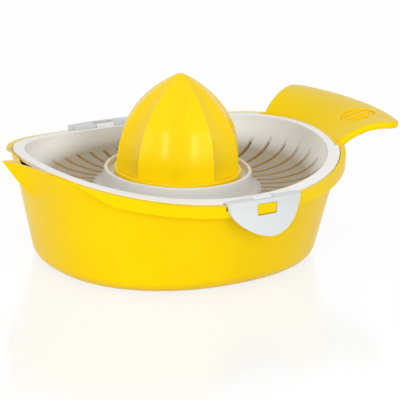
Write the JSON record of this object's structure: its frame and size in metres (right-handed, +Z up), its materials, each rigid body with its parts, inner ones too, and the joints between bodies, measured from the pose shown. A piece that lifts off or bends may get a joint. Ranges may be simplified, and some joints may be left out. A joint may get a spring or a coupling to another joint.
{
  "type": "bowl citrus juicer",
  "caption": "Oval jug-like bowl with beak spout and wide handle, a clipped-on strainer insert with radial slots, and a lift-off ribbed reamer cone.",
  "frame": {"origin": "on the table under the bowl, below the reamer's axis", "axes": "+X from the reamer's axis towards the handle, with the spout at -X; +Y towards the rear clip; +Z up along the reamer's axis"},
  "size_m": [0.2194, 0.171, 0.0941],
  "materials": {
    "yellow_bowl": "smooth glossy yellow polypropylene",
    "white_strainer": "smooth glossy warm white polypropylene, slightly translucent",
    "yellow_reamer": "smooth satin yellow polypropylene",
    "white_clip": "smooth glossy cool white polypropylene"
  },
  "bodies": {
    "bowl": {"bowl": "yellow_bowl"},
    "strainer": {"strainer": "white_strainer"},
    "reamer": {"reamer": "yellow_reamer"},
    "front_clip": {"front_clip": "white_clip"},
    "rear_clip": {"rear_clip": "white_clip"}
  },
  "joints": [
    {"name": "strainer_lift", "type": "slide", "parent": "bowl", "child": "strainer", "axis": [0, 0, 1], "range_m": [0, 0.12]},
    {"name": "reamer_lift", "type": "slide", "parent": "strainer", "child": "reamer", "axis": [0, 0, 1], "range_m": [0, 0.09]},
    {"name": "front_clip_hinge", "type": "hinge", "parent": "strainer", "child": "front_clip", "pos_m": [0, -0.074, 0.0482], "axis": [-1, 0, 0], "range_deg": [0, 110]},
    {"name": "rear_clip_hinge", "type": "hinge", "parent": "strainer", "child": "rear_clip", "pos_m": [0, 0.074, 0.0482], "axis": [1, 0, 0], "range_deg": [0, 110]}
  ]
}
